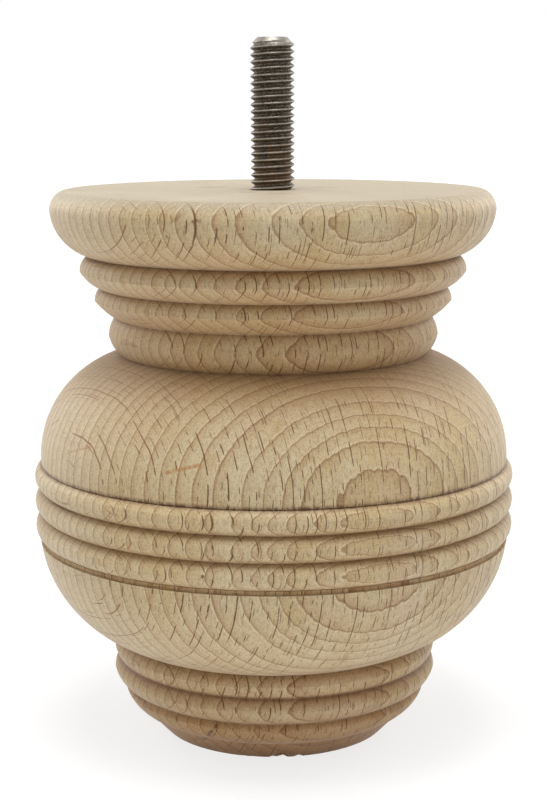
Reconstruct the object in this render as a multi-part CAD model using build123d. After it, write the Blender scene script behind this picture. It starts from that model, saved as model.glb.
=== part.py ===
# A turned beech bun foot for furniture, with the steel hanger bolt that fixes it.
# Millimetres. The foot stands on Z = 0 and its turning axis is the Z axis.
# Heights are stacked from the floor up, so every member rides on the one below.

import os
from collections import namedtuple
from math import radians, tan

from build123d import *

# One bead of the turning, from the groove under it to the groove over it.
# radius is the bead's widest and nose how far up that is, the bulges are the rise
# of its two arcs above their chords, under and over the nose, and groove is how
# much narrower the groove over the bead is.
Bead = namedtuple("Bead", "height radius nose under_bulge over_bulge groove")

foot_height = 100.0      # from the floor to the top face

# Sole and splayed base
sole_radius = 21.6
sole_round = 0.7         # rounding of the edge that stands on the floor
base_height = 3.8
base_radius = 24.5       # where the base meets the lowest bead

# Three beads between the base and the belly, from the lowest up
ankle_low_radius = 27.9
ankle_radius = 30.0
ankle_beads = [
    Bead(4.7, ankle_low_radius, nose=3.5, under_bulge=0.50, over_bulge=0.05, groove=0.4),
    Bead(5.2, ankle_radius, nose=3.0, under_bulge=0.45, over_bulge=0.20, groove=0.9),
    Bead(4.2, ankle_radius, nose=2.3, under_bulge=0.20, over_bulge=0.15, groove=1.1),
]

# Belly, with rings round its widest part
belly_low_height = 18.4
belly_low_radius = 43.2  # upper edge of the lower belly
belly_low_bulge = 3.2
band_height = 0.7        # flat sunk band between the lower belly and the rings
band_radius = 42.7
ring_count = 3
ring_height = 4.58
ring_groove_radius = 42.5
ring_bulge = 1.55
belly_high_radius = 42.9 # lower edge of the upper belly
belly_high_bulge = 4.5
neck_radius = 28.0       # where the upper belly meets the neck

# Three beads between the belly and the cap, from the lowest up
neck_low_radius = 30.1
neck_mid_radius = 32.5
neck_high_radius = 35.1
neck_beads = [
    Bead(6.8, neck_low_radius, nose=3.6, under_bulge=0.36, over_bulge=0.23, groove=1.2),
    Bead(5.4, neck_mid_radius, nose=3.1, under_bulge=0.20, over_bulge=0.30, groove=1.1),
    Bead(5.8, neck_high_radius, nose=3.0, under_bulge=0.43, over_bulge=0.52, groove=1.7),
]

# Cap, the disc that bears on the furniture
cap_radius = 40.2
cap_under_height = 7.46  # rounded underside
cap_under_bulge = 1.5
cap_edge_height = 4.1    # rounded upper edge
cap_edge_bulge = 0.85
top_face_radius = 38.1

# The upper belly takes the height that the other members leave
belly_high_height = foot_height - sum([
    base_height,
    sum(bead.height for bead in ankle_beads),
    belly_low_height,
    band_height,
    ring_count * ring_height,
    sum(bead.height for bead in neck_beads),
    cap_under_height,
    cap_edge_height,
])

# Hanger bolt: machine thread above the top face, plain shank and wood screw below it
stud_diameter = 8.0
stud_length = 27.0
stud_chamfer = 1.3
shank_diameter = 7.1
shank_length = 5.0
screw_core_diameter = 5.6
screw_length = 26.0      # with its point
point_length = 7.0
point_radius = 0.6       # blunt tip

# Hole for the bolt: a pilot that the screw's core fills, opened out for the shank
shank_clearance = 0.1
mouth_clearance = 0.4    # between the stud and the countersunk mouth of the hole
pilot_relief = 1.5       # empty depth under the bolt's point
drill_angle = 118.0


def bead_arcs(start, bead):
    """The two arcs of a bead, from the groove point below it to the one above."""
    height = start[1]
    nose = (bead.radius, height + bead.nose)
    groove = (bead.radius - bead.groove, height + bead.height)
    under = SagittaArc(start, nose, -bead.under_bulge)
    over = SagittaArc(nose, groove, -bead.over_bulge)
    return [under, over], groove


def turned_foot():
    """The foot's solid without its hole."""
    # Sole, its rounded edge and the base
    sole_edge = (sole_radius - sole_round, 0)
    base_foot = (sole_radius, sole_round)
    at = (base_radius, base_height)
    edges = [Line((0, 0), sole_edge), TangentArc(sole_edge, base_foot, tangent=(1, 0))]
    edges.append(Line(base_foot, at))
    for bead in ankle_beads:
        arcs, at = bead_arcs(at, bead)
        edges += arcs

    # Lower belly, and the sunk band over it
    belly_edge = (belly_low_radius, at[1] + belly_low_height)
    band_foot = (band_radius, belly_edge[1])
    band_head = (band_radius, belly_edge[1] + band_height)
    edges.append(SagittaArc(at, belly_edge, -belly_low_bulge))
    edges += [Line(belly_edge, band_foot), Line(band_foot, band_head)]

    # Rings
    at = (ring_groove_radius, band_head[1])
    edges.append(Line(band_head, at))
    for _ in range(ring_count):
        groove = (ring_groove_radius, at[1] + ring_height)
        edges.append(SagittaArc(at, groove, -ring_bulge))
        at = groove

    # Upper belly
    shoulder = (belly_high_radius, at[1])
    neck = (neck_radius, at[1] + belly_high_height)
    edges += [Line(at, shoulder), SagittaArc(shoulder, neck, -belly_high_bulge)]
    at = neck
    for bead in neck_beads:
        arcs, at = bead_arcs(at, bead)
        edges += arcs

    # Cap
    cap_side = (cap_radius, at[1] + cap_under_height)
    cap_top = (top_face_radius, foot_height)
    axis_top = (0, foot_height)
    edges.append(SagittaArc(at, cap_side, -cap_under_bulge))
    edges.append(SagittaArc(cap_side, cap_top, -cap_edge_bulge))
    edges += [Line(cap_top, axis_top), Line(axis_top, (0, 0))]
    return revolve(Plane.XZ * make_face(edges), Axis.Z)


def hanger_bolt():
    """The bolt, with its machine thread standing on the foot's top face."""
    stud = stud_diameter / 2
    shank = shank_diameter / 2
    core = screw_core_diameter / 2
    head = foot_height + stud_length
    screw_head = foot_height - shank_length
    tip = screw_head - screw_length
    section = Polyline(
        (0, tip),
        (point_radius, tip),
        (core, tip + point_length),
        (core, screw_head),
        (shank, screw_head + (shank - core)),
        (shank, foot_height - (stud - shank)),
        (stud, foot_height),
        (stud, head - stud_chamfer),
        (stud - stud_chamfer, head),
        (0, head),
        close=True,
    )
    return revolve(Plane.XZ * make_face(section), Axis.Z)


def bolt_hole():
    """The blind hole that the buried end of the bolt sits in."""
    core = screw_core_diameter / 2
    shank = shank_diameter / 2 + shank_clearance
    mouth = stud_diameter / 2 + mouth_clearance
    screw_head = foot_height - shank_length
    floor = screw_head - screw_length - pilot_relief
    drill_point = core / tan(radians(drill_angle / 2))
    section = Polyline(
        (0, floor - drill_point),
        (core, floor),
        (core, screw_head),
        (shank, screw_head + (shank - core)),
        (shank, foot_height - (mouth - shank)),
        (mouth, foot_height),
        (0, foot_height),
        close=True,
    )
    return revolve(Plane.XZ * make_face(section), Axis.Z)


nodes = {
    "turned_foot": turned_foot() - bolt_hole(),
    "hanger_bolt": hanger_bolt(),
}

os.makedirs("parts", exist_ok=True)
for name, shape in nodes.items():
    shape.label = name
    export_step(shape, f"parts/{name}.step")
    print(name, "volume", round(shape.volume), "mm3, top at", round(shape.bounding_box().max.Z, 2))
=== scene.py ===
import bmesh
import bpy
from math import asin, atan2, cos, degrees, exp, hypot, pi, radians, sin
from mathutils import Matrix, Vector, noise


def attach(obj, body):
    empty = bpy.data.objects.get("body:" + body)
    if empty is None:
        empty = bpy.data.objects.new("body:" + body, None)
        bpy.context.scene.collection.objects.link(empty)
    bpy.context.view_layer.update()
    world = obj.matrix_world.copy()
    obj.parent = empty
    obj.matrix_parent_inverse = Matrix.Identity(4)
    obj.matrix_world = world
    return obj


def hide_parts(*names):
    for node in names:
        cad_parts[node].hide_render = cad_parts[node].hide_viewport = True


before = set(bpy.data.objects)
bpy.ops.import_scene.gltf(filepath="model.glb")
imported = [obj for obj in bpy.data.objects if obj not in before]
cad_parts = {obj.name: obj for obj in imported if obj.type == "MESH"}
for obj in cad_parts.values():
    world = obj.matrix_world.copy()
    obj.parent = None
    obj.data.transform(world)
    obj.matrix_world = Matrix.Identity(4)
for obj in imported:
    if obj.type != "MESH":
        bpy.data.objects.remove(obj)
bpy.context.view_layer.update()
mm = 0.001
print("frame loaded")


# Small helpers for meshes and node trees

def finishPiece(bm, name, material, replaced):
    mesh = bpy.data.meshes.new(name)
    bm.to_mesh(mesh)
    bm.free()
    mesh.materials.append(material)
    piece = bpy.data.objects.new(name, mesh)
    bpy.context.scene.collection.objects.link(piece)
    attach(piece, "root")
    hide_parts(replaced)
    print(name, "has", len(mesh.polygons), "faces")


def shadeByAngle(bm, sharpest):
    for face in bm.faces:
        face.smooth = True
    for edge in bm.edges:
        edge.smooth = edge.calc_face_angle(0) < radians(sharpest)


def vertsOf(items):
    return [item for item in items if isinstance(item, bmesh.types.BMVert)]


def edgesOf(items):
    return [item for item in items if isinstance(item, bmesh.types.BMEdge)]


def lineTo(bm, start, radius, height, steps=1):
    # a straight run of the outline, from a vertex to a radius and height in mm
    target = Vector((radius, 0, height)) * mm
    first = start.co.copy()
    last = start
    for step in range(1, steps + 1):
        nextOne = bm.verts.new(first.lerp(target, step / steps))
        bm.edges.new((last, nextOne))
        last = nextOne
    return last


def arcTo(bm, start, radius, height, bulge, spacing):
    # an arc of the outline, spun about its own centre
    chord = Vector((radius, 0, height)) * mm - start.co
    rise = bulge * mm
    arcRadius = (chord.length_squared / 4 + rise * rise) / (2 * rise)
    outward = Vector((chord.z, 0, -chord.x)).normalized()
    centre = start.co + chord / 2 + outward * (rise - arcRadius)
    turn = 2 * asin(min(1, chord.length / 2 / arcRadius))
    steps = max(3, round(turn * arcRadius / mm / spacing))
    made = bmesh.ops.spin(bm, geom=[start], cent=centre, axis=(0, -1, 0), angle=turn, steps=steps)
    return vertsOf(made["geom_last"])[0]


def srgb(red, green, blue):
    # a colour as seen on screen, 0 to 255, to the linear one that shaders use
    def linear(value):
        value = value / 255
        return value / 12.92 if value <= 0.04045 else ((value + 0.055) / 1.055) ** 2.4
    return (linear(red), linear(green), linear(blue), 1)


def startMaterial(name):
    material = bpy.data.materials.new(name)
    material.use_nodes = True
    material.node_tree.nodes.clear()
    return material, material.node_tree


def add(tree, kind, inputs=None, **settings):
    node = tree.nodes.new(kind)
    for key, value in settings.items():
        setattr(node, key, value)
    for key, value in (inputs or {}).items():
        feed(tree, node.inputs[key], value)
    return node


def feed(tree, socket, value):
    if isinstance(value, bpy.types.NodeSocket):
        tree.links.new(value, socket)
    else:
        socket.default_value = value


def calc(tree, operation, *values, clamp=False):
    node = tree.nodes.new("ShaderNodeMath")
    node.operation = operation
    node.use_clamp = clamp
    for socket, value in zip(node.inputs, values):
        feed(tree, socket, value)
    return node.outputs[0]


def vector(tree, operation, *values):
    node = tree.nodes.new("ShaderNodeVectorMath")
    node.operation = operation
    for socket, value in zip(node.inputs, values):
        feed(tree, socket, value)
    return node.outputs["Value" if operation in ("LENGTH", "DOT_PRODUCT") else "Vector"]


def fade(tree, value, start, end, low=0.0, high=1.0, kind="SMOOTHSTEP"):
    node = add(tree, "ShaderNodeMapRange", interpolation_type=kind)
    for key, item in zip(("Value", "From Min", "From Max", "To Min", "To Max"),
                         (value, start, end, low, high)):
        feed(tree, node.inputs[key], item)
    return node.outputs["Result"]


def blend(tree, factor, first, second, mode="MIX"):
    node = add(tree, "ShaderNodeMix", data_type="RGBA", blend_type=mode)
    for index, item in zip((0, 6, 7), (factor, first, second)):
        feed(tree, node.inputs[index], item)
    return node.outputs[2]


def noiseOf(tree, coordinates, scale, detail=2.0, roughness=0.5):
    # smooth noise, 0 to 1, of coordinates in mm; scale is how fine it is on each axis
    stretched = vector(tree, "MULTIPLY", coordinates, scale)
    return add(tree, "ShaderNodeTexNoise", {
        "Vector": stretched, "Scale": 1.0, "Detail": detail, "Roughness": roughness,
    }).outputs["Fac"]


def sway(tree, value, extent):
    # noise from 0 to 1 as a shift to either side
    return fade(tree, value, 0.0, 1.0, -extent / 2, extent / 2, "LINEAR")


def painted(tree, name):
    # a number that the mesh carries at each of its points
    return add(tree, "ShaderNodeAttribute", attribute_name=name).outputs["Fac"]


# Camera, at the viewing angle of the picture, which is 547 by 800. Metres, but mm for the
# lens and its sensor, and radians for how far the camera leans to one side.

camera = {
    "distance": 0.3247, "height": 0.11744, "aim": 0.06127,
    "lens": 79.06, "sensor": 36.0, "lean": -0.0036,
}


def addCamera():
    c = camera
    drop = asin((c["height"] - c["aim"]) / c["distance"])
    data = bpy.data.cameras.new("camera")
    data.sensor_fit = "VERTICAL"
    data.sensor_height = c["sensor"]
    data.lens = c["lens"]
    eye = bpy.data.objects.new("camera", data)
    bpy.context.scene.collection.objects.link(eye)
    place = Matrix.Translation((0, -c["distance"] * cos(drop), c["height"]))
    turn = Matrix.Rotation(pi / 2 - drop, 4, "X") @ Matrix.Rotation(c["lean"], 4, "Z")
    eye.matrix_world = place @ turn
    bpy.context.scene.camera = eye
    print("camera placed, looking down", round(degrees(drop), 2), "degrees")


# Floor, backdrop and light. Metres, and degrees above the horizon for the sky.

studio = {
    "floorSize": 6.0, "floorTone": 0.92,
    "shadowShows": 0.3, "shadowNear": 0.2, "shadowFar": 0.6, "paperWhite": 1.1,
    "skyLight": 0.37, "skyLow": 25.0, "skyHigh": 45.0, "lampAim": (0, 0, 0.06),
    "lamps": {
        "lamp_top": {"place": (0, -0.1, 0.7), "size": 0.35, "watts": 3.8},
        "lamp_left": {"place": (-0.8, -0.15, 0.35), "size": 0.6, "watts": 0.55},
        "lamp_right": {"place": (0.8, -0.15, 0.35), "size": 0.6, "watts": 0.6},
        "lamp_left_back": {"place": (-0.65, 0.5, 0.45), "size": 0.5, "watts": 2.5},
        "lamp_right_back": {"place": (0.65, 0.5, 0.45), "size": 0.5, "watts": 2.3},
        "lamp_front": {"place": (0.02, -0.9, 0.35), "size": 0.12, "watts": 0.7},
    },
}


def addLamp(name, place, size, watts):
    data = bpy.data.lights.new(name, "AREA")
    data.shape = "SQUARE"
    data.size = size
    data.energy = watts
    lamp = bpy.data.objects.new(name, data)
    bpy.context.scene.collection.objects.link(lamp)
    aim = Vector(studio["lampAim"]) - Vector(place)
    lamp.matrix_world = Matrix.Translation(place) @ aim.to_track_quat("-Z", "Y").to_matrix().to_4x4()


def seenRays(tree):
    # 1 for what the lens sees, also in a reflection or through glass, 0 for light on its way
    path = add(tree, "ShaderNodeLightPath")
    seen = calc(tree, "MAXIMUM", path.outputs["Is Camera Ray"], path.outputs["Is Glossy Ray"])
    return calc(tree, "MAXIMUM", seen, path.outputs["Is Transmission Ray"])


def paperMaterial():
    # white paper that lights the piece as paper does, and shows only a light shadow
    s = studio
    material, tree = startMaterial("white_paper")
    spot = add(tree, "ShaderNodeTexCoord")
    away = vector(tree, "LENGTH", spot.outputs["Object"])
    white = fade(tree, away, s["shadowNear"], s["shadowFar"], 1 - s["shadowShows"], 1.0)
    paper = add(tree, "ShaderNodeBsdfDiffuse", {"Color": (s["floorTone"],) * 3 + (1,)})
    glow = add(tree, "ShaderNodeEmission", {"Color": (1, 1, 1, 1), "Strength": s["paperWhite"]})
    both = add(tree, "ShaderNodeMixShader", {
        0: calc(tree, "MULTIPLY", seenRays(tree), white), 1: paper.outputs[0], 2: glow.outputs[0],
    })
    add(tree, "ShaderNodeOutputMaterial", {"Surface": both.outputs[0]})
    return material


def addStudio():
    s = studio
    bm = bmesh.new()
    bmesh.ops.create_grid(bm, x_segments=1, y_segments=1, size=s["floorSize"] / 2)
    mesh = bpy.data.meshes.new("floor")
    bm.to_mesh(mesh)
    bm.free()
    mesh.materials.append(paperMaterial())
    floor = bpy.data.objects.new("floor", mesh)
    bpy.context.scene.collection.objects.link(floor)

    # the sky is a white tent, brighter overhead, and plain white where it is seen
    world = bpy.data.worlds.new("studio")
    bpy.context.scene.world = world
    world.use_nodes = True
    tree = world.node_tree
    tree.nodes.clear()
    spot = add(tree, "ShaderNodeTexCoord")
    up = add(tree, "ShaderNodeSeparateXYZ", {0: spot.outputs["Generated"]}).outputs[2]
    light = fade(tree, up, sin(radians(s["skyLow"])), sin(radians(s["skyHigh"])), 0.0, s["skyLight"])
    strength = fade(tree, seenRays(tree), 0.0, 1.0, light, 1.0, "LINEAR")
    sky = add(tree, "ShaderNodeBackground", {"Color": (1, 1, 1, 1), "Strength": strength})
    add(tree, "ShaderNodeOutputWorld", {"Surface": sky.outputs[0]})

    for name, lamp in s["lamps"].items():
        addLamp(name, lamp["place"], lamp["size"], lamp["watts"])
    bpy.context.scene.view_settings.view_transform = "Standard"
    print("floor, sky and lamps placed")


# Turned foot, from the floor up. Sizes in mm. A bead is its height, nose radius, nose height,
# the bulges under and over the nose, and the radius of the groove above it.

foot = {
    "sole": (20.9, 0.0), "soleEdge": (21.6, 0.7), "baseTop": (24.5, 3.8),
    "ankleBeads": [
        (4.7, 27.9, 3.5, 0.50, 0.05, 27.5),
        (5.2, 30.0, 3.0, 0.45, 0.20, 29.1),
        (4.2, 30.0, 2.3, 0.20, 0.15, 28.9),
    ],
    "bellyLow": (43.2, 18.4, 3.2),  # radius at its top, height and bulge
    "band": (42.7, 0.7),  # radius and height
    "rings": 3, "ring": (42.5, 4.58, 1.55),  # radius at its foot, height and bulge
    "bellyHigh": (42.9, 28.0, 19.7, 4.5),  # radius at its foot and at the neck, height and bulge
    "neckBeads": [
        (6.8, 30.1, 3.6, 0.36, 0.23, 28.9),
        (5.4, 32.5, 3.1, 0.20, 0.30, 31.4),
        (5.8, 35.1, 3.0, 0.43, 0.52, 33.4),
    ],
    "cap": (40.2, 7.46, 1.5), "capEdge": (38.1, 4.1, 0.85),  # radius at the top, height and bulge
    "mouth": 4.4, "shankHole": 3.65, "pilot": 2.8,
    "shankDepth": 5.0, "pilotDepth": 32.5, "drillPoint": 1.68,
    "spacing": 0.72, "topSteps": 42, "eighth": 48, "sharpest": 19,
    # what the surface has lost: all over, on the top face, and in chips along the sole
    "unevenness": 0.05, "unevenSize": 9.0,
    "topFace": 100.0, "sanding": 0.05, "sandingSize": (4.0, 2.0), "tornSize": 0.8,
    "chips": 0.7, "chipsAt": -87.0, "chipsSpread": 13.0, "chipSize": 1.7,
    # how far up and down the outline closes round a point to paint shade on it, and how high up the floor
    # does
    "paintedShadeReach": 30.0, "floorShadeHeight": 17.0,
    # how dark each groove is with soil and painted shade, from the base up to the one under the cap
    "soilAndShade": (0.0, 0.5, 0.6, 0.5, 0.0, 0.15, 0.25, 1.0, 0.2, 0.55, 0.35, 0.35),
    # and how much shade is painted on the ledge under each, and how far down it reaches
    "ledgeShade": (0.0, 0.6, 1.0, 0.5, 0.0, 0.1, 0.1, 0.0, 0.15, 0.15, 0.15, 0.0), "ledgeShadeReach": 2.6,
}

# places where the top face has torn near the stud, each from end to end, half as wide as
# "half" and as deep as "dent", in mm
tornPlaces = [
    {"ends": ((-13.6, 9.4, 100), (-9.7, 9.2, 100)), "half": 1.4, "dent": 0.25, "strength": 0.8},
    {"ends": ((0.4, -11.6, 100), (3.2, -11.9, 100)), "half": 1.5, "dent": 0.35, "strength": 1.0},
    {"ends": ((8.9, 7.2, 100), (11.0, 6.9, 100)), "half": 1.4, "dent": 0.3, "strength": 0.9},
    {"ends": ((-5.2, -7.6, 100), (-3.6, -8.2, 100)), "half": 1.1, "dent": 0.2, "strength": 0.7},
]


def addBeads(bm, at, height, beads, grooves):
    for size, nose, noseHeight, under, over, groove in beads:
        at = arcTo(bm, at, nose, height + noseHeight, under, foot["spacing"])
        height += size
        at = arcTo(bm, at, groove, height, over, foot["spacing"])
        grooves.append(height)
    return at, height


def footOutline(bm):
    f = foot
    space = f["spacing"]
    at = lineTo(bm, bm.verts.new((0, 0, 0)), *f["sole"], steps=8)
    at = lineTo(bm, at, *f["soleEdge"], steps=2)
    at = lineTo(bm, at, *f["baseTop"], steps=5)
    height = f["baseTop"][1]
    grooves = [height]
    at, height = addBeads(bm, at, height, f["ankleBeads"], grooves)

    radius, rise, bulge = f["bellyLow"]
    height += rise
    at = arcTo(bm, at, radius, height, bulge, space)
    bandRadius, bandHeight = f["band"]
    at = lineTo(bm, at, bandRadius, height)
    height += bandHeight
    at = lineTo(bm, at, bandRadius, height, steps=2)
    grooves.append(height)
    radius, rise, bulge = f["ring"]
    at = lineTo(bm, at, radius, height)
    for _ in range(f["rings"]):
        height += rise
        at = arcTo(bm, at, radius, height, bulge, space)
        grooves.append(height)
    radius, neck, rise, bulge = f["bellyHigh"]
    at = lineTo(bm, at, radius, height)
    height += rise
    at = arcTo(bm, at, neck, height, bulge, space)
    grooves.append(height)
    at, height = addBeads(bm, at, height, f["neckBeads"], grooves)

    radius, rise, bulge = f["cap"]
    height += rise
    at = arcTo(bm, at, radius, height, bulge, space)
    radius, rise, bulge = f["capEdge"]
    height += rise
    at = arcTo(bm, at, radius, height, bulge, space)
    at = lineTo(bm, at, f["mouth"], height, steps=f["topSteps"])
    at = lineTo(bm, at, f["shankHole"], height - (f["mouth"] - f["shankHole"]))
    screwHead = height - f["shankDepth"]
    at = lineTo(bm, at, f["shankHole"], screwHead + f["shankHole"] - f["pilot"], steps=2)
    at = lineTo(bm, at, f["pilot"], screwHead)
    at = lineTo(bm, at, f["pilot"], height - f["pilotDepth"], steps=2)
    lineTo(bm, at, 0, height - f["pilotDepth"] - f["drillPoint"])
    return grooves


def tellShadeAndSoil(bm, grooves):
    # for each point of the outline: how far what stands out above and below closes round it, for painted
    # shade, how far the nearest groove is, how much soil and painted shade that holds, and the painted
    # shade on the ledge under it
    paintedShade = bm.verts.layers.float["paintedShade"]
    fromGroove = bm.verts.layers.float["fromGroove"]
    soilAndShade = bm.verts.layers.float["soilAndShade"]
    ledgeShade = bm.verts.layers.float["ledgeShade"]
    outline = [(vert.co.x / mm, vert.co.z / mm) for vert in bm.verts]
    for vert in bm.verts:
        radius, height = vert.co.x / mm, vert.co.z / mm
        nearest = min(range(len(grooves)), key=lambda item: abs(height - grooves[item]))
        vert[fromGroove] = abs(height - grooves[nearest])
        vert[soilAndShade] = foot["soilAndShade"][nearest]
        # painted shade on the upper side of the bead under each groove
        for groove, amount in zip(grooves, foot["ledgeShade"]):
            share = 1 - (groove - height) / foot["ledgeShadeReach"]
            if 0 < share <= 1:
                vert[ledgeShade] = amount * share * share
        # how far the outline closes round the point, above and below, sets its painted shade
        above, below = -90.0, -90.0
        for otherRadius, otherHeight in outline:
            rise = otherHeight - height
            if 0.05 < abs(rise) < foot["paintedShadeReach"]:
                lean = degrees(atan2(otherRadius - radius, abs(rise)))
                if rise > 0:
                    above = max(above, lean)
                else:
                    below = max(below, lean)
        # the floor adds painted shade low down
        if radius > foot["mouth"] + 1:
            low = max(0.0, 1 - height / foot["floorShadeHeight"])
            vert[paintedShade] = min(1.0, max(0.0, above + below) / 90 + low)


def dentAt(point):
    # how deep the torn places in the top face are at a point, in mm
    depth = 0.0
    for torn in tornPlaces:
        start, end = [Vector(item) for item in torn["ends"]]
        run = end - start
        share = min(1, max(0, (point - start).dot(run) / run.length_squared))
        away = (point - start - share * run).length / torn["half"]
        ragged = 0.75 + 0.5 * noise.noise(point / foot["tornSize"])
        depth = max(depth, torn["dent"] * ragged * exp(-away * away))
    return depth


def roughenFoot(bm):
    # the sanded surface isn't quite true: it only ever loses a little, and more along the sole
    f = foot
    for vert in bm.verts:
        x, y, z = vert.co / mm
        radius = hypot(x, y)
        if radius < f["mouth"] + 0.1:
            continue
        if z > f["topFace"] - 0.01:
            wide, deep = f["sandingSize"]
            sanding = f["sanding"] * (0.5 + 0.5 * noise.noise(Vector((x / wide, y / deep, 0))))
            vert.co.z -= (sanding + dentAt(Vector((x, y, z)))) * mm
        loss = f["unevenness"] * (0.5 + 0.5 * noise.noise(Vector((x, y, z)) / f["unevenSize"]))
        if z < f["soleEdge"][1] + 0.1 and radius > f["sole"][0] - 0.1:
            offSide = (degrees(atan2(y, x)) - f["chipsAt"]) / f["chipsSpread"]
            broken = max(0, noise.noise(Vector((x, y, 0)) / f["chipSize"]))
            chip = f["chips"] * exp(-offSide * offSide) * broken
            loss += chip
            vert.co.z += chip * mm
        vert.co.x *= 1 - loss / radius
        vert.co.y *= 1 - loss / radius


def addFoot(material):
    bm = bmesh.new()
    for name in ("paintedShade", "fromGroove", "soilAndShade", "ledgeShade"):
        bm.verts.layers.float.new(name)
    tellShadeAndSoil(bm, footOutline(bm))
    # an eighth of a turn by spin, then doubled to a quarter, a half and the whole
    bmesh.ops.spin(bm, geom=bm.verts[:] + bm.edges[:], cent=(0, 0, 0), axis=(0, 0, 1),
                   angle=pi / 4, steps=foot["eighth"])
    for turn in (pi / 4, pi / 2, pi):
        more = bmesh.ops.duplicate(bm, geom=bm.verts[:] + bm.edges[:] + bm.faces[:])["geom"]
        bmesh.ops.rotate(bm, verts=vertsOf(more), cent=(0, 0, 0),
                         matrix=Matrix.Rotation(turn, 3, "Z"))
    bmesh.ops.remove_doubles(bm, verts=bm.verts, dist=0.01 * mm)
    roughenFoot(bm)
    bmesh.ops.recalc_face_normals(bm, faces=bm.faces)
    shadeByAngle(bm, foot["sharpest"])
    finishPiece(bm, "turned_beech_foot", material, "turned_foot")


# Hanger bolt, with its machine thread above the top face. Sizes in mm.

bolt = {
    "face": 100.0, "length": 27.0, "crest": 3.95, "root": 3.3, "pitch": 1.25,
    "chamfer": 1.3, "crestFlat": 0.15, "rootFlat": 0.18,
    "shank": 3.55, "shankLength": 5.0, "core": 2.8,
    "screwLength": 26.0, "point": 7.0, "tip": 0.6,
    "turnSteps": 64, "flankSteps": 3, "sharpest": 70,
}


def addBolt(material):
    b = bolt
    low = b["face"] - b["shankLength"]
    high = b["face"] + b["length"]
    flank = (b["pitch"] - b["crestFlat"] - b["rootFlat"]) / 2
    bm = bmesh.new()
    at = bm.verts.new(Vector((b["root"], 0, low - b["pitch"])) * mm)
    height = low - b["pitch"]
    for rise, radius in ((b["rootFlat"], "root"), (flank, "crest"),
                         (b["crestFlat"], "crest"), (flank, "root")):
        height += rise
        at = lineTo(bm, at, b[radius], height, steps=b["flankSteps"] if rise == flank else 1)
    # one turn of the tooth by spin, then doubled up the bolt
    bmesh.ops.spin(bm, geom=bm.verts[:] + bm.edges[:], cent=(0, 0, 0), axis=(0, 0, 1),
                   dvec=(0, 0, b["pitch"] / b["turnSteps"] * mm), angle=2 * pi, steps=b["turnSteps"])
    turns = 1
    while turns * b["pitch"] < high - low + 3 * b["pitch"]:
        more = bmesh.ops.duplicate(bm, geom=bm.verts[:] + bm.edges[:] + bm.faces[:])["geom"]
        bmesh.ops.translate(bm, verts=vertsOf(more), vec=(0, 0, turns * b["pitch"] * mm))
        turns *= 2
    bmesh.ops.remove_doubles(bm, verts=bm.verts, dist=0.005 * mm)
    rims = []
    for level, normal in ((low, -1), (high, 1)):
        cut = bmesh.ops.bisect_plane(bm, geom=bm.verts[:] + bm.edges[:] + bm.faces[:],
                                     plane_co=(0, 0, level * mm), plane_no=(0, 0, normal),
                                     clear_outer=True)
        rims.append(edgesOf(cut["geom_cut"]))
    lowRim, highRim = rims
    # chamfered tip, and the thread running out into the plain shank
    for vert in bm.verts:
        radius = hypot(vert.co.x, vert.co.y) / mm
        height = vert.co.z / mm
        most = min(b["crest"], b["crest"] + high - b["chamfer"] - height)
        if height < b["face"]:
            most = max(b["shank"], b["crest"] + height - b["face"])
            least = min(b["shank"], b["root"] + (b["face"] - height))
            radius = max(radius, least)
        vert.co.xy *= min(radius, most) * mm / hypot(vert.co.x, vert.co.y)
    bmesh.ops.holes_fill(bm, edges=highRim, sides=0)
    # the wood screw's core and its blunt point, drawn down from the shank
    loop = lowRim
    for radius, drop in ((b["core"], b["shank"] - b["core"]),
                         (b["core"], b["screwLength"] - b["point"]),
                         (b["tip"], b["point"])):
        made = bmesh.ops.extrude_edge_only(bm, edges=loop)["geom"]
        loop = edgesOf(made)
        for vert in vertsOf(made):
            vert.co.xy *= radius * mm / hypot(vert.co.x, vert.co.y)
            vert.co.z -= drop * mm
    bmesh.ops.holes_fill(bm, edges=loop, sides=0)
    bmesh.ops.recalc_face_normals(bm, faces=bm.faces)
    shadeByAngle(bm, b["sharpest"])
    for edge in highRim:
        edge.smooth = False
    finishPiece(bm, "threaded_hanger_bolt", material, "hanger_bolt")


# Beech. Grain coordinates in mm: X points to the middle of the tree, which lies in front
# of the foot and to the right; Y runs along the growth rings and Z up the grain.

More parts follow.
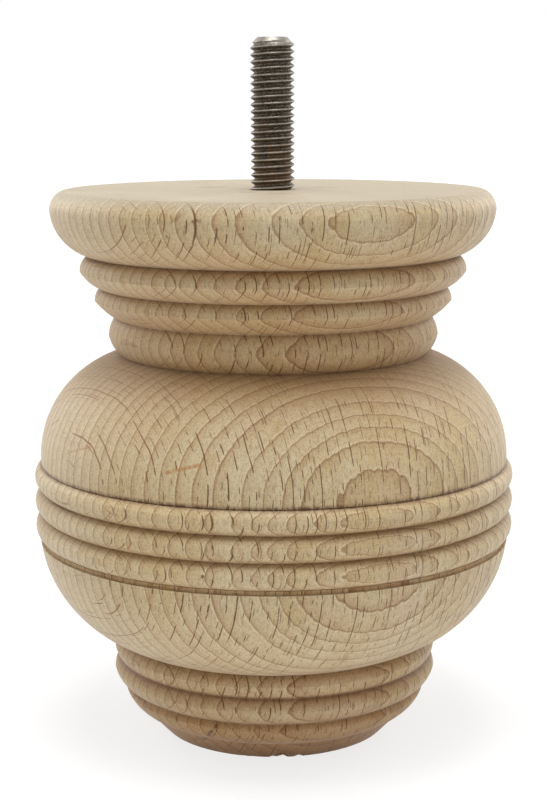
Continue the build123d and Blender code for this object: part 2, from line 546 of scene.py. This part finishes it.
beech = {
    "grainTurn": 65.5, "toPith": 290.0,
    # growth rings: even ones, then the widths of the last few, and how far they stray
    "ringWidth": 2.4, "evenRings": 32, "evenRingsEnd": 32.4,
    "outerRings": (3.2, 1.9, 1.5, 1.35, 1.85),
    "sweep": 1.4, "wave": 0.45, "lobe": 0.09, "lobeWidth": 0.9,
    "bend": 0.2, "bendLength": 68.0, "bendMiddle": 45.0, "faintestRing": 0.6,
    # how far the rays stray, and how unevenly they are spaced
    "drift": 2.4, "wiggle": 0.3, "rayScatter": 0.65,
    # colours as seen on screen
    "light": (213, 197, 161), "yellow": (206, 184, 137), "pink": (210, 185, 152),
    "foxed": (190, 156, 100), "ringLine": (138, 96, 54), "ringShade": (180, 146, 102),
    "rayEnd": (104, 64, 8), "raySide": (134, 84, 30), "topFace": (164, 156, 135),
    "poreDark": (150, 116, 76), "pale": (226, 208, 174), "soilAndShade": (104, 70, 42),
    "stain": (182, 126, 74), "ink": (74, 40, 8),
    # tints that multiply, all painted shade: where the outline closes round the surface, on the ledges
    # under the grooves, and low down near the floor
    "paintedShadeTint": (237, 219, 197), "paintedShadePower": 1.4, "ledgeShadeTint": (200, 182, 172),
    "low": (250, 226, 194), "floorShadeFrom": 13.0, "floorShadeTo": 1.0,
    # how fine each unevenness is across the rings, along them and up the grain
    "fineness": {
        "drift": (0.05, 0.06, 0.045), "wiggle": (0.3, 0.3, 0.18),
        "sweep": (0.02, 0.035, 0.016), "wave": (0.1, 0.25, 0.11),
        "patches": (0.05, 0.08, 0.03), "blush": (0.11, 0.16, 0.05), "stripes": (2.6, 0.05, 0.03),
        "fibre": (2.6, 2.6, 0.8), "speckle": (4.6, 4.6, 3.4),
    },
    # and, for those that don't follow the grain, to the right, to the back and up
    "fox": (0.35, 0.35, 0.25), "lathe": (0.04, 0.04, 3.2), "ragged": (1.7, 1.7, 0.6),
    # the finish
    "roughness": 0.55, "specular": 0.3, "sheen": 0.22, "sheenRoughness": 0.5,
    "fibreBump": 0.5, "latheBump": 0.4, "bump": 0.5, "bumpDepth": 0.08,
}

# rays: thin plates along X and Z, set side by side and broken into dashes, sizes in mm
rayKinds = [
    {"spacing": 2.0, "half": 0.11, "along": 26, "up": 2.8, "gaps": 0.45, "strength": 0.95, "seed": 3.1},
    {"spacing": 1.4, "half": 0.085, "along": 14, "up": 2.1, "gaps": 0.49, "strength": 0.75, "seed": 57.7},
    {"spacing": 0.7, "half": 0.06, "along": 7, "up": 1.4, "gaps": 0.54, "strength": 0.4, "seed": 112.9},
]

# stains and specks on the surface, each from end to end, in mm, and half as wide as "half"
marks = [
    {"ends": ((-17.5, -38.6, 56.0), (-12.0, -40.2, 57.6)), "half": 0.45, "tone": "stain", "strength": 0.9},
    {"ends": ((-35.5, -23.1, 56.2), (-31.0, -28.0, 58.2)), "half": 0.4, "tone": "stain", "strength": 0.6},
    {"ends": ((-11.7, -42.5, 39.6), (-11.7, -42.5, 39.4)), "half": 0.35, "tone": "ink", "strength": 1.0},
    {"ends": ((-29.6, -32.5, 39.7), (-29.2, -32.7, 38.8)), "half": 0.3, "tone": "stain", "strength": 0.9},
    {"ends": ((-28.3, -33.6, 49.0), (-27.2, -34.6, 48.2)), "half": 0.3, "tone": "stain", "strength": 0.8},
    {"ends": ((-24.1, -36.5, 42.8), (-23.6, -37.1, 43.8)), "half": 0.3, "tone": "stain", "strength": 0.9},
    {"ends": ((-20.8, -37.0, 33.2), (-20.7, -37.6, 34.9)), "half": 0.3, "tone": "stain", "strength": 0.7},
    {"ends": ((29.8, -26.6, 94.9), (29.9, -26.5, 94.7)), "half": 0.35, "tone": "ink", "strength": 0.6},
    # a scratch down the base
    {"ends": ((-10.2, -25.8, 7.8), (-11.3, -25.0, 6.3)), "half": 0.4, "tone": "ink", "strength": 0.8},
    {"ends": ((-11.3, -25.0, 6.3), (-11.9, -23.7, 5.1)), "half": 0.4, "tone": "ink", "strength": 0.8},
    {"ends": ((-12.2, -21.3, 3.8), (-13.0, -19.8, 2.6)), "half": 0.4, "tone": "ink", "strength": 0.8},
    # specks on the edge of the cap
    {"ends": ((-16.0, -36.9, 97.1), (-14.3, -37.2, 98.2)), "half": 0.55, "tone": "ink", "strength": 0.4},
    {"ends": ((-12.8, -38.2, 97.0), (-12.6, -38.2, 96.7)), "half": 0.35, "tone": "ink", "strength": 0.9},
    {"ends": ((-12.1, -38.4, 97.1), (-11.7, -38.5, 97.1)), "half": 0.45, "tone": "ink", "strength": 0.8},
    {"ends": ((-17.2, -35.9, 94.5), (-17.1, -35.9, 94.3)), "half": 0.35, "tone": "ink", "strength": 0.9},
]


def ringNumber(tree, depth):
    # how many rings lie below a depth, as a curve with straight runs between the boundaries
    w = beech
    first = w["evenRingsEnd"] - w["evenRings"] * w["ringWidth"]
    span = 90.0
    most = w["evenRings"] + len(w["outerRings"]) + 3
    value = fade(tree, depth, first, first + span, kind="LINEAR")
    curve = add(tree, "ShaderNodeFloatCurve", {"Value": value})
    points = curve.mapping.curves[0].points
    at, number = w["evenRingsEnd"], w["evenRings"]
    points.new((at - first) / span, number / most)
    for width in w["outerRings"]:
        at += width
        number += 1
        points.new((at - first) / span, number / most)
    for point in points:
        point.handle_type = "VECTOR"
    curve.mapping.update()
    return calc(tree, "MULTIPLY", curve.outputs[0], most)


def growthRings(tree, grain, grainZ, fromPith, fromRay):
    # where a ring is shaded, where its line is and where its pale edge is; rings are lobed
    # between the large rays
    w = beech
    depth = calc(tree, "SUBTRACT", w["toPith"], fromPith)
    for name in ("sweep", "wave"):
        stray = noiseOf(tree, grain, w["fineness"][name], 1.0)
        depth = calc(tree, "ADD", depth, sway(tree, stray, w[name]))
    depth = calc(tree, "ADD", depth, fade(tree, fromRay, 0.0, w["lobeWidth"], -w["lobe"], 0.0))
    upGrain = calc(tree, "SUBTRACT", grainZ, w["bendMiddle"])
    phase = calc(tree, "MULTIPLY", upGrain, 2 * pi / w["bendLength"])
    bend = calc(tree, "MULTIPLY", calc(tree, "SUBTRACT", calc(tree, "COSINE", phase), 1.0), w["bend"])
    number = ringNumber(tree, calc(tree, "ADD", depth, bend))
    within = calc(tree, "FRACT", number)
    which = add(tree, "ShaderNodeTexWhiteNoise", {"W": calc(tree, "FLOOR", number)},
                noise_dimensions="1D").outputs["Value"]
    which = fade(tree, which, 0.0, 1.0, w["faintestRing"], 1.0, "LINEAR")
    shade = calc(tree, "MULTIPLY", fade(tree, within, 0.65, 0.0), which)
    line = calc(tree, "MULTIPLY", fade(tree, within, 0.14, 0.05), which)
    return shade, line, fade(tree, within, 0.84, 0.96, 0.0, 0.5)


def nearestRay(tree, across, kind):
    # distance in mm to the nearest plate of a kind, and a number that is that plate's own
    place = calc(tree, "ADD", calc(tree, "DIVIDE", across, kind["spacing"]), kind["seed"])
    near = add(tree, "ShaderNodeTexVoronoi", {
        "W": place, "Scale": 1.0, "Randomness": beech["rayScatter"],
    }, voronoi_dimensions="1D")
    away = calc(tree, "MULTIPLY", near.outputs["Distance"], kind["spacing"])
    own = add(tree, "ShaderNodeSeparateColor", {0: near.outputs["Color"]}).outputs[0]
    return away, calc(tree, "MULTIPLY", own, 97.0)


def rayMask(tree, grain, away, own, kind, endOn):
    # dashes with tapered ends along the plate that is nearest
    flat = vector(tree, "MULTIPLY", grain, (1 / kind["along"], 0, 1 / kind["up"]))
    shift = add(tree, "ShaderNodeCombineXYZ", {1: own})
    gate = noiseOf(tree, vector(tree, "ADD", flat, shift.outputs[0]), (1, 1, 1), 2.0, 0.55)
    gate = fade(tree, gate, kind["gaps"], kind["gaps"] + 0.13)
    width = fade(tree, endOn, 0.0, 1.0, 0.85 * kind["half"], 1.25 * kind["half"])
    half = calc(tree, "MULTIPLY", gate, width)
    core = calc(tree, "MULTIPLY", half, 0.35)
    mask = calc(tree, "MULTIPLY", fade(tree, away, half, core), fade(tree, gate, 0.05, 0.5))
    strength = fade(tree, endOn, 0.0, 1.0, 0.8 * kind["strength"], kind["strength"])
    return calc(tree, "MULTIPLY", mask, strength)


def addRays(tree, colour, grain, normal, onTop, rays):
    # rays, darkest where they end square on the surface and faint where they lie along it
    turn = radians(beech["grainTurn"])
    facing = vector(tree, "DOT_PRODUCT", normal, (cos(turn), -sin(turn), 0))
    endOn = fade(tree, calc(tree, "ABSOLUTE", facing), 0.3, 0.85)
    along = vector(tree, "DOT_PRODUCT", normal, (sin(turn), cos(turn), 0))
    shows = fade(tree, calc(tree, "ABSOLUTE", along), 0.9, 0.99, 1.0, 0.35)
    shows = calc(tree, "MULTIPLY", shows, fade(tree, onTop, 0.5, 1.0, 1.0, 0.6))
    rayColour = blend(tree, endOn, srgb(*beech["raySide"]), srgb(*beech["rayEnd"]))
    relief = 0.0
    for kind, (away, own) in zip(rayKinds, rays):
        mask = calc(tree, "MULTIPLY", rayMask(tree, grain, away, own, kind, endOn), shows)
        colour = blend(tree, mask, colour, rayColour)
        relief = calc(tree, "MAXIMUM", relief, mask)
    return colour, relief


def markMask(tree, place, mark):
    start, end = [Vector(item) for item in mark["ends"]]
    run = end - start
    offset = vector(tree, "SUBTRACT", place, tuple(start))
    share = calc(tree, "DIVIDE", vector(tree, "DOT_PRODUCT", offset, tuple(run)), run.length_squared)
    share = calc(tree, "MULTIPLY", share, 1.0, clamp=True)
    onRun = add(tree, "ShaderNodeCombineXYZ", {0: share, 1: share, 2: share}).outputs[0]
    nearest = vector(tree, "MULTIPLY", tuple(run), onRun)
    gap = vector(tree, "LENGTH", vector(tree, "SUBTRACT", offset, nearest))
    return fade(tree, gap, mark["half"], mark["half"] * 0.3, 0.0, mark["strength"])


def addSoilAndShade(tree, colour, place, grainZ):
    # painted shade where the outline closes round the surface, on the ledges and low down near the floor,
    # then soil and painted shade in the grooves, soil in the torn places, and the marks
    w = beech
    # painted shade where the outline closes round the surface
    paintedShade = calc(tree, "POWER", painted(tree, "paintedShade"), w["paintedShadePower"])
    colour = blend(tree, paintedShade, colour, srgb(*w["paintedShadeTint"]), "MULTIPLY")
    # painted shade on the ledges under the grooves
    colour = blend(tree, painted(tree, "ledgeShade"), colour, srgb(*w["ledgeShadeTint"]), "MULTIPLY")
    # painted shade low down, darker towards the floor
    low = fade(tree, grainZ, w["floorShadeFrom"], w["floorShadeTo"])
    colour = blend(tree, low, colour, srgb(*w["low"]), "MULTIPLY")
    ragged = fade(tree, noiseOf(tree, place, w["ragged"]), 0.35, 0.65, 0.4, 1.0)
    # grooves darkened with soil and painted shade
    groove = fade(tree, painted(tree, "fromGroove"), 0.75, 0.0)
    groove = calc(tree, "MULTIPLY", calc(tree, "MULTIPLY", groove, painted(tree, "soilAndShade")), ragged)
    colour = blend(tree, groove, colour, srgb(*w["soilAndShade"]))
    for mark in marks + tornPlaces:
        worn = calc(tree, "MULTIPLY", markMask(tree, place, mark), ragged)
        colour = blend(tree, worn, colour, srgb(*w[mark.get("tone", "soilAndShade")]))
    return colour


def tinted(tree, colour, name, strength, mask, start, end):
    # the colour turned towards a named one of the wood, as a mask runs from start to end
    return blend(tree, fade(tree, mask, start, end, 0.0, strength), colour, srgb(*beech[name]))


def beechMaterial():
    w = beech
    fine = w["fineness"]
    material, tree = startMaterial("turned_beech")
    spot = add(tree, "ShaderNodeTexCoord")
    normal = spot.outputs["Normal"]
    place = vector(tree, "MULTIPLY", spot.outputs["Object"], (1000, 1000, 1000))
    grain = add(tree, "ShaderNodeMapping", {
        "Vector": place, "Rotation": (0, 0, radians(w["grainTurn"])),
    }, vector_type="POINT").outputs[0]
    grainX, grainY, grainZ = add(tree, "ShaderNodeSeparateXYZ", {0: grain}).outputs[:]

    # rings are round the pith and rays point to it
    toPith = calc(tree, "SUBTRACT", w["toPith"], grainX)
    fromPith = calc(tree, "SQRT", calc(tree, "ADD", calc(tree, "MULTIPLY", toPith, toPith),
                                       calc(tree, "MULTIPLY", grainY, grainY)))
    across = calc(tree, "MULTIPLY", calc(tree, "ARCTAN2", grainY, toPith), w["toPith"])
    for name in ("drift", "wiggle"):
        across = calc(tree, "ADD", across, sway(tree, noiseOf(tree, grain, fine[name], 1.0), w[name]))
    rays = [nearestRay(tree, across, kind) for kind in rayKinds]
    shade, line, paleEdge = growthRings(tree, grain, grainZ, fromPith, rays[0][0])

    # body colour in broad patches, and the top face, which is end grain sanded pale
    patches = noiseOf(tree, grain, fine["patches"])
    colour = blend(tree, fade(tree, patches, 0.3, 0.7), srgb(*w["yellow"]), srgb(*w["light"]))
    blush = noiseOf(tree, grain, fine["blush"], 3.0)
    colour = tinted(tree, colour, "pink", 0.8, blush, 0.45, 0.8)
    fox = noiseOf(tree, place, w["fox"], 3.0, 0.6)
    colour = tinted(tree, colour, "foxed", 0.45, fox, 0.52, 0.72)
    up = add(tree, "ShaderNodeSeparateXYZ", {0: normal}).outputs[2]
    onTop = calc(tree, "MULTIPLY", fade(tree, up, 0.22, 0.92), fade(tree, grainZ, 94.0, 99.0))
    colour = blend(tree, calc(tree, "MULTIPLY", onTop, 0.9), colour, srgb(*w["topFace"]))

    # stripes and growth rings, faint on the top face
    stripes = noiseOf(tree, grain, fine["stripes"])
    colour = tinted(tree, colour, "ringShade", 0.3, stripes, 0.45, 0.8)
    for name, mask, strength, leftOnTop in (("ringShade", shade, 0.6, 0.25),
                                            ("ringLine", line, 0.7, 0.35)):
        mask = calc(tree, "MULTIPLY", mask, fade(tree, onTop, 0.0, 1.0, 1.0, leftOnTop))
        colour = blend(tree, calc(tree, "MULTIPLY", mask, strength), colour, srgb(*w[name]))
    colour = blend(tree, paleEdge, colour, srgb(*w["pale"]))

    # fibre, pores and the fine lines left by the lathe
    fibre = noiseOf(tree, grain, fine["fibre"], 3.0, 0.7)
    speckle = noiseOf(tree, grain, fine["speckle"], 2.0, 0.8)
    lathe = noiseOf(tree, place, w["lathe"])
    colour = tinted(tree, colour, "poreDark", 0.45, fibre, 0.45, 0.72)
    colour = tinted(tree, colour, "poreDark", 0.5, speckle, 0.5, 0.7)
    colour = tinted(tree, colour, "pale", 0.55, speckle, 0.48, 0.3)
    colour = tinted(tree, colour, "pale", 0.16, lathe, 0.55, 0.75)
    colour, relief = addRays(tree, colour, grain, normal, onTop, rays)
    colour = addSoilAndShade(tree, colour, place, grainZ)

    height = calc(tree, "MULTIPLY", fibre, w["fibreBump"])
    height = calc(tree, "ADD", height, calc(tree, "MULTIPLY", lathe, w["latheBump"]))
    height = calc(tree, "SUBTRACT", height, relief)
    bump = add(tree, "ShaderNodeBump", {
        "Height": height, "Strength": w["bump"], "Distance": w["bumpDepth"] * mm,
    })
    shader = add(tree, "ShaderNodeBsdfPrincipled", {
        "Base Color": colour, "Roughness": w["roughness"], "Normal": bump.outputs[0],
        "Specular IOR Level": w["specular"],
        "Sheen Weight": w["sheen"], "Sheen Roughness": w["sheenRoughness"],
    })
    add(tree, "ShaderNodeOutputMaterial", {"Surface": shader.outputs[0]})
    return material


# Steel, rubbed bright on the crests of the thread and painted lighter there as a highlight, and a little
# rusty between them.
# Heights and radii in mm, colours as seen on screen.

steel = {
    # worn is the rubbed crests and tip, painted lighter to stand in for their highlight
    "dull": (124, 115, 100), "dark": (50, 44, 36), "worn": (160, 157, 150), "rust": (106, 83, 62),
    "metallic": 0.75, "dullRoughness": 0.55, "wornRoughness": 0.32,
    "crestBrightFrom": 3.86, "crestBrightUneven": 0.24, "rustTop": 118.0, "tipFade": (-0.2, 0.3),
    "blotch": (0.9, 0.9, 0.7), "grit": (3.2, 3.2, 3.2), "bump": 0.6, "bumpDepth": 0.06,
}


def steelMaterial():
    s = steel
    material, tree = startMaterial("worn_steel")
    spot = add(tree, "ShaderNodeTexCoord")
    place = vector(tree, "MULTIPLY", spot.outputs["Object"], (1000, 1000, 1000))
    height = add(tree, "ShaderNodeSeparateXYZ", {0: place}).outputs[2]
    radius = vector(tree, "LENGTH", vector(tree, "MULTIPLY", place, (1, 1, 0)))
    blotch = noiseOf(tree, place, s["blotch"], 3.0)
    grit = noiseOf(tree, place, s["grit"], 3.0, 0.75)

    # dull oxide with darker grit, rust in blotches and low down, crests and tip rubbed bright and painted
    # lighter as a highlight
    colour = blend(tree, fade(tree, grit, 0.42, 0.62), srgb(*s["dark"]), srgb(*s["dull"]))
    low = fade(tree, height, s["rustTop"], bolt["face"], 0.0, 0.16)
    rusty = fade(tree, calc(tree, "ADD", blotch, low), 0.52, 0.72, 0.0, 0.8)
    colour = blend(tree, rusty, colour, srgb(*s["rust"]))
    reach = calc(tree, "ADD", radius, sway(tree, grit, s["crestBrightUneven"]))
    crest = fade(tree, reach, s["crestBrightFrom"], bolt["crest"], 0.0, 0.6)
    tipFoot = bolt["face"] + bolt["length"] - bolt["chamfer"]
    tip = fade(tree, height, tipFoot + s["tipFade"][0], tipFoot + s["tipFade"][1], 0.0, 0.5)
    rubbedAndHighlit = calc(tree, "MAXIMUM", crest, tip)
    colour = blend(tree, rubbedAndHighlit, colour, srgb(*s["worn"]))
    bump = add(tree, "ShaderNodeBump", {
        "Height": grit, "Strength": s["bump"], "Distance": s["bumpDepth"] * mm,
    })
    shader = add(tree, "ShaderNodeBsdfPrincipled", {
        "Base Color": colour, "Metallic": s["metallic"], "Normal": bump.outputs[0],
        "Roughness": fade(tree, rubbedAndHighlit, 0.0, 0.8, s["dullRoughness"], s["wornRoughness"]),
    })
    add(tree, "ShaderNodeOutputMaterial", {"Surface": shader.outputs[0]})
    return material


addCamera()
addStudio()
addFoot(beechMaterial())
addBolt(steelMaterial())
